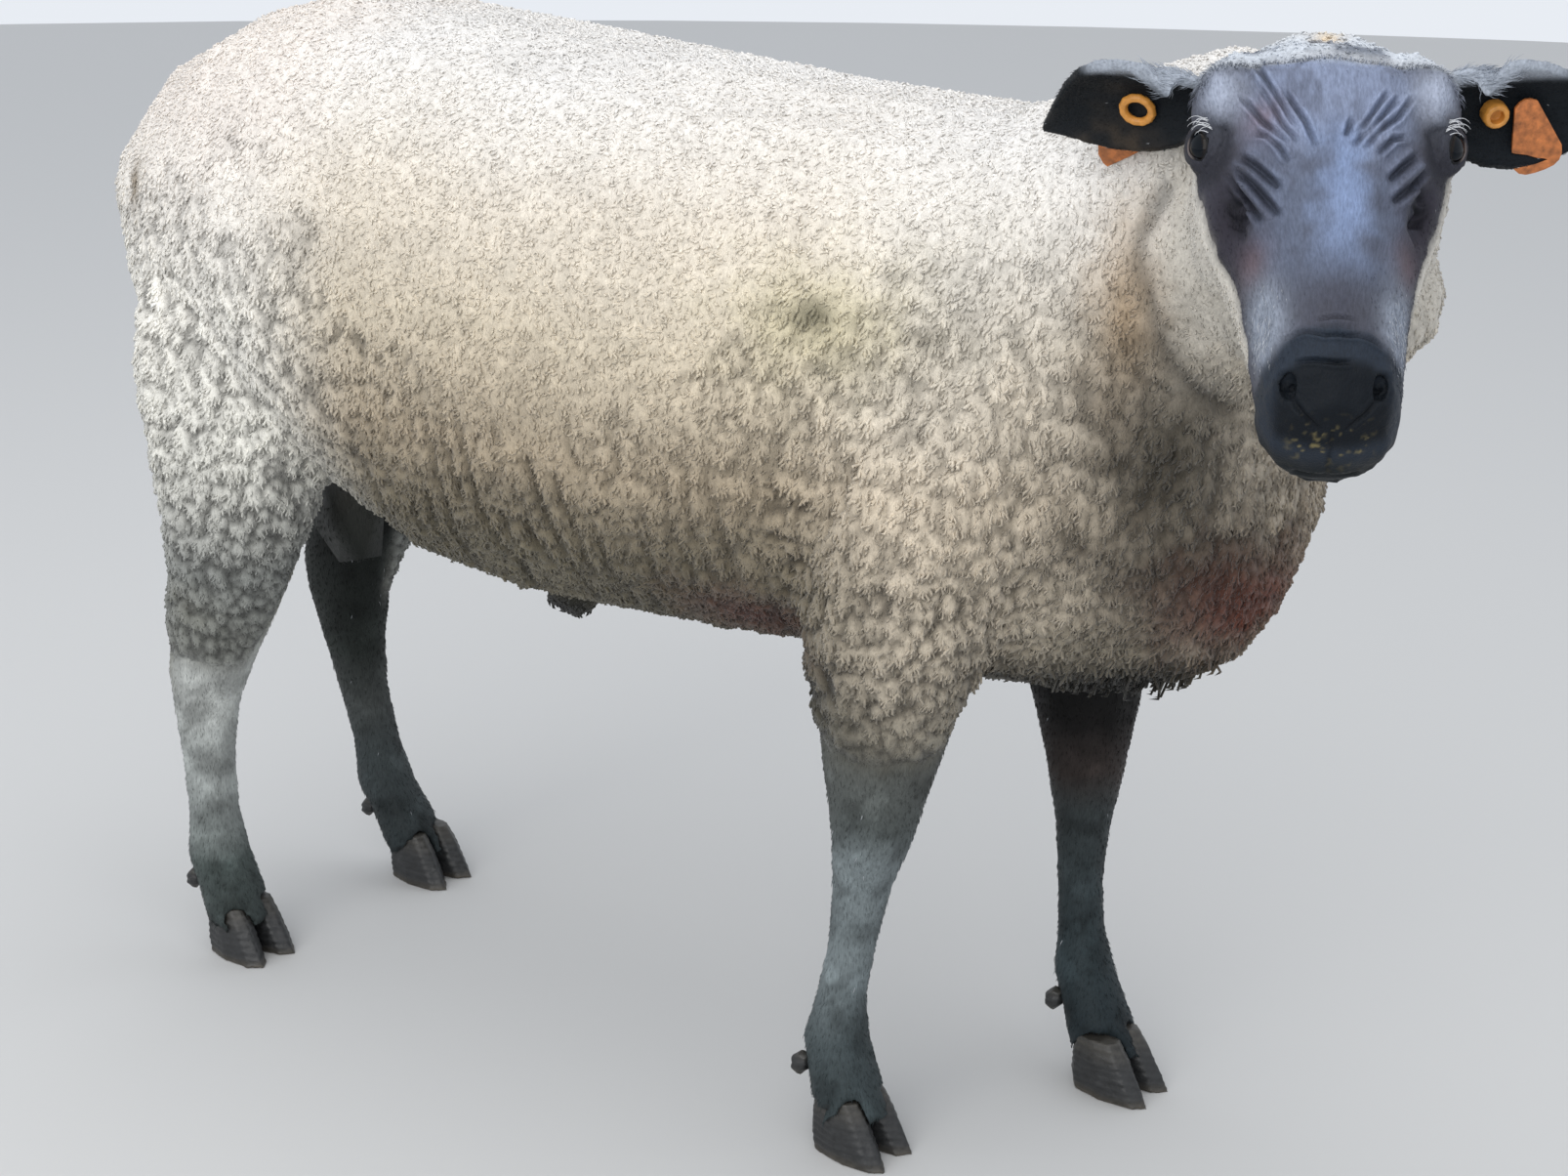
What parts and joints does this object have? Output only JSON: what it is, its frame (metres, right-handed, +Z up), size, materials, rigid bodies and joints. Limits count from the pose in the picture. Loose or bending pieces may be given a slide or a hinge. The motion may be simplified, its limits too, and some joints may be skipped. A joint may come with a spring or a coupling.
{
  "type": "sheep",
  "caption": "Standing ram of a stocky, dark-faced meat breed in a short fleece, head turned to its right, with an ear tag in each ear; a still life-size model.",
  "frame": {"origin": "on the floor, below the middle of the bounding box", "axes": "+X towards the chest along the body, +Y to the animal's left, +Z up"},
  "size_m": [1.1032, 0.4426, 0.7507],
  "materials": {
    "fleece": "short curled wool, matt",
    "dark_fleece": "wool in blocky locks, dusty",
    "face": "short flat hair over dark skin",
    "muzzle": "bare dark skin, faint sheen",
    "light_leg": "short flat hair, grey mottled",
    "dark_leg": "short flat hair, nearly black",
    "hoof_horn": "worn dark horn",
    "eye": "wet",
    "bare_skin": "bare dark skin",
    "amber_tag": "worn moulded plastic",
    "orange_tag": "worn moulded plastic"
  },
  "bodies": {
    "root": {"claw_fore_left_inner": "hoof_horn", "claw_fore_left_outer": "hoof_horn", "claw_fore_right_inner": "hoof_horn", "claw_fore_right_outer": "hoof_horn", "claw_hind_left_inner": "hoof_horn", "claw_hind_left_outer": "hoof_horn", "claw_hind_right_inner": "hoof_horn", "claw_hind_right_outer": "hoof_horn", "dewclaw_fore_left_inner": "hoof_horn", "dewclaw_fore_left_outer": "hoof_horn", "dewclaw_fore_right_inner": "hoof_horn", "dewclaw_fore_right_outer": "hoof_horn", "dewclaw_hind_left_inner": "hoof_horn", "dewclaw_hind_left_outer": "hoof_horn", "dewclaw_hind_right_inner": "hoof_horn", "dewclaw_hind_right_outer": "hoof_horn", "ear_left": "face", "ear_right": "face", "eye_left": "eye", "eye_right": "eye", "head": "face", "jaw": "muzzle", "leg_fore_left_cannon": "dark_leg", "leg_fore_left_foot": "dark_leg", "leg_fore_left_upper": "dark_fleece", "leg_fore_right_cannon": "light_leg", "leg_fore_right_foot": "light_leg", "leg_fore_right_upper": "dark_fleece", "leg_hind_left_cannon": "dark_leg", "leg_hind_left_foot": "dark_leg", "leg_hind_left_upper": "dark_fleece", "leg_hind_right_cannon": "light_leg", "leg_hind_right_foot": "light_leg", "leg_hind_right_upper": "dark_fleece", "neck": "fleece", "scrotum": "bare_skin", "sheath": "bare_skin", "tag_boss_left": "amber_tag", "tag_flag_left": "orange_tag", "tag_flag_right": "orange_tag", "tag_ring_right": "amber_tag", "tail": "fleece", "trunk": "fleece"}
  },
  "joints": []
}
